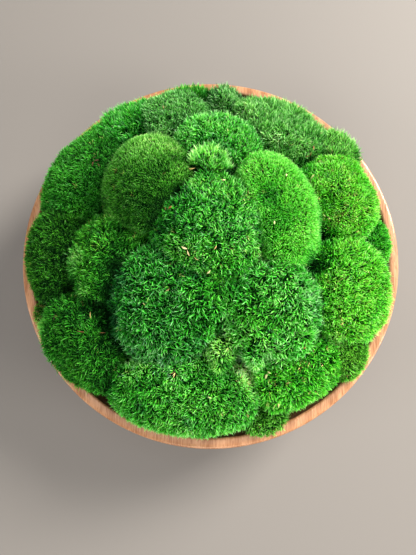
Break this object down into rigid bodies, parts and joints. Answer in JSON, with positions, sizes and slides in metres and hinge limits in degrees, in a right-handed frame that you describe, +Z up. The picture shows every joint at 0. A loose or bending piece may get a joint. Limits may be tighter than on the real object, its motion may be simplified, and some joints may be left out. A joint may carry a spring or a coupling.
{
  "type": "moss clump",
  "caption": "Domed clump of cushion moss, packed on a mound of soil in a shallow round turned wooden bowl, to stand on a table.",
  "frame": {"origin": "middle of the bowl's flat foot, on the surface it stands on", "axes": "+Z up through the middle of the bowl, -Y towards the front, where the picture was taken from, +X to the right"},
  "size_m": [0.356, 0.356, 0.172],
  "materials": {
    "turned_wood": "turned hardwood, thin satin oil finish, tan with short dark pore flecks and a redder inside",
    "soil": "dark crumbly soil, matt",
    "moss_bright": "vivid green cushion moss, matt and fibrous",
    "moss_mid": "mid green cushion moss, matt and fibrous",
    "moss_deep": "deep green cushion moss, matt and fibrous",
    "moss_olive": "olive green cushion moss, matt and fibrous",
    "moss_pale": "pale yellow-green young moss tips, matt and fibrous"
  },
  "bodies": {
    "root": {"bowl": "turned_wood", "moss_back_dome": "moss_mid", "moss_back_edge": "moss_deep", "moss_back_olive": "moss_olive", "moss_back_right": "moss_bright", "moss_back_tuft": "moss_mid", "moss_crown": "moss_mid", "moss_far_back_left": "moss_deep", "moss_front": "moss_mid", "moss_front_left": "moss_deep", "moss_front_low_right": "moss_bright", "moss_front_right": "moss_mid", "moss_front_small": "moss_deep", "moss_left": "moss_deep", "moss_left_back": "moss_deep", "moss_left_dome": "moss_olive", "moss_left_mid": "moss_mid", "moss_left_small": "moss_olive", "moss_lower_left": "moss_deep", "moss_lower_right": "moss_bright", "moss_pale_tuft": "moss_pale", "moss_right": "moss_bright", "moss_right_dome": "moss_bright", "moss_right_small": "moss_mid", "moss_right_upper": "moss_olive", "moss_top_tuft": "moss_pale", "moss_upper_right": "moss_bright", "soil_mound": "soil"}
  },
  "joints": []
}
